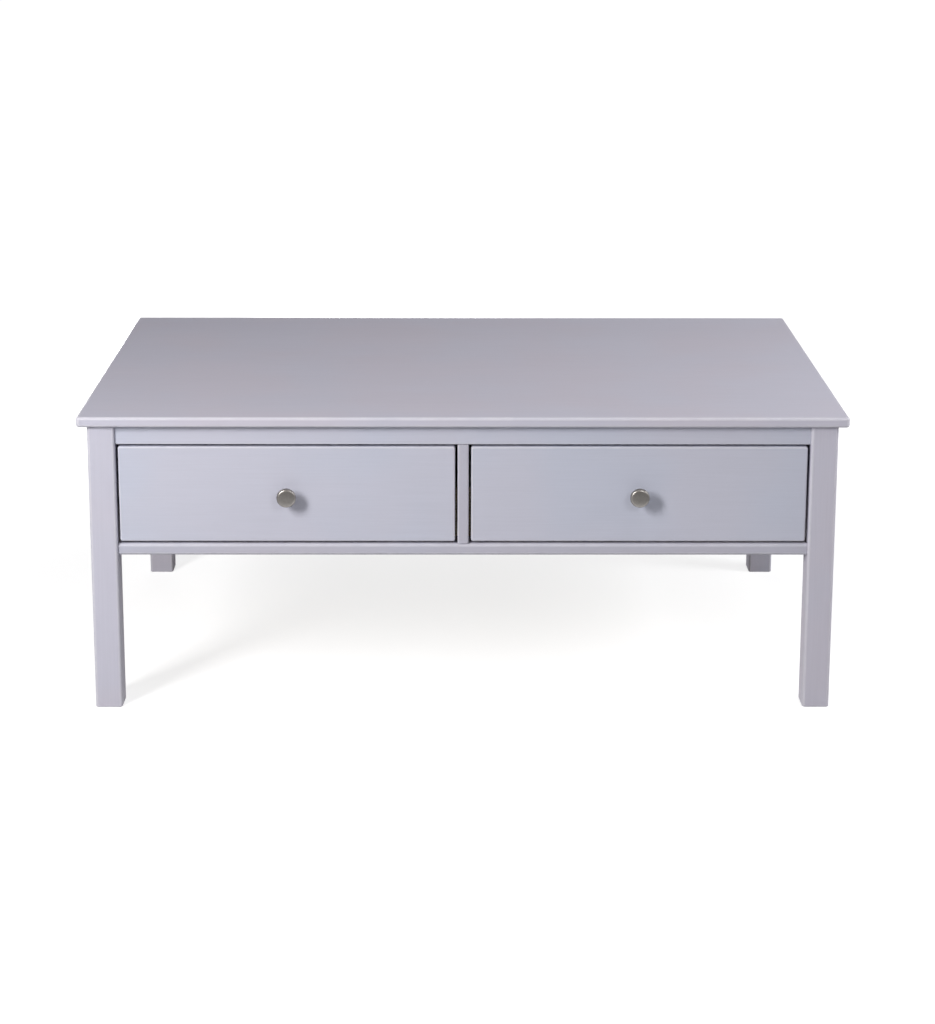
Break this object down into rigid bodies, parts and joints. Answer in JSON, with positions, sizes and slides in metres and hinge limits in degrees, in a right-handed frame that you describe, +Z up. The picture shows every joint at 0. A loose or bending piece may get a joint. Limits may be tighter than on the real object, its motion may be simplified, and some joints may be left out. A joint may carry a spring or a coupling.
{
  "type": "coffee table",
  "caption": "Low rectangular table with an overhanging slab top, square legs and inset front drawers that slide on wooden runner strips and have round knobs.",
  "frame": {"origin": "on the floor under the middle of the tabletop", "axes": "+X along the table's length, towards the viewer's right when facing the drawers; +Y from the drawer fronts to the back; +Z up"},
  "size_m": [1.1, 0.6593, 0.44],
  "materials": {
    "painted_wood": "satin lavender-grey paint on wood, with softly rounded arrises",
    "pine": "clear lacquered pine",
    "beech": "bare beech dowel",
    "plywood": "smooth birch plywood sheet",
    "satin_nickel": "satin nickel plate",
    "zinc_steel": "bright zinc plated steel"
  },
  "bodies": {
    "frame": {"tabletop": "painted_wood", "leg_front_left": "painted_wood", "leg_front_right": "painted_wood", "leg_rear_left": "painted_wood", "leg_rear_right": "painted_wood", "front_upper_rail": "painted_wood", "front_lower_rail": "painted_wood", "rear_apron": "painted_wood", "side_apron_left": "painted_wood", "side_apron_right": "painted_wood", "centre_partition": "painted_wood", "runner_left_outer": "pine", "runner_left_inner": "pine", "runner_right_outer": "pine", "runner_right_inner": "pine", "guide_board_left": "pine", "guide_board_right": "pine", "top_bracket_left_1": "zinc_steel", "top_bracket_left_2": "zinc_steel", "top_bracket_right_1": "zinc_steel", "top_bracket_right_2": "zinc_steel", "top_bracket_rear_left": "zinc_steel", "top_bracket_rear_right": "zinc_steel", "dowel_left_apron_front_1": "beech", "dowel_left_apron_front_2": "beech", "dowel_left_apron_rear_1": "beech", "dowel_left_apron_rear_2": "beech", "dowel_right_apron_front_1": "beech", "dowel_right_apron_front_2": "beech", "dowel_right_apron_rear_1": "beech", "dowel_right_apron_rear_2": "beech", "dowel_upper_rail_left": "beech", "dowel_upper_rail_right": "beech", "dowel_lower_rail_left": "beech", "dowel_lower_rail_right": "beech", "dowel_rear_apron_left_1": "beech", "dowel_rear_apron_left_2": "beech", "dowel_rear_apron_right_1": "beech", "dowel_rear_apron_right_2": "beech", "dowel_partition_1": "beech", "dowel_partition_2": "beech"},
    "left_drawer": {"drawer_left_front": "painted_wood", "drawer_left_side_left": "pine", "drawer_left_side_right": "pine", "drawer_left_back": "pine", "drawer_left_bottom": "plywood", "drawer_left_knob": "satin_nickel", "drawer_left_knob_screw": "zinc_steel"},
    "right_drawer": {"drawer_right_front": "painted_wood", "drawer_right_side_left": "pine", "drawer_right_side_right": "pine", "drawer_right_back": "pine", "drawer_right_bottom": "plywood", "drawer_right_knob": "satin_nickel", "drawer_right_knob_screw": "zinc_steel"}
  },
  "joints": [
    {"name": "left_drawer_slide", "type": "slide", "parent": "frame", "child": "left_drawer", "axis": [0, -1, 0], "range_m": [0, 0.33]},
    {"name": "right_drawer_slide", "type": "slide", "parent": "frame", "child": "right_drawer", "axis": [0, -1, 0], "range_m": [0, 0.33]}
  ]
}
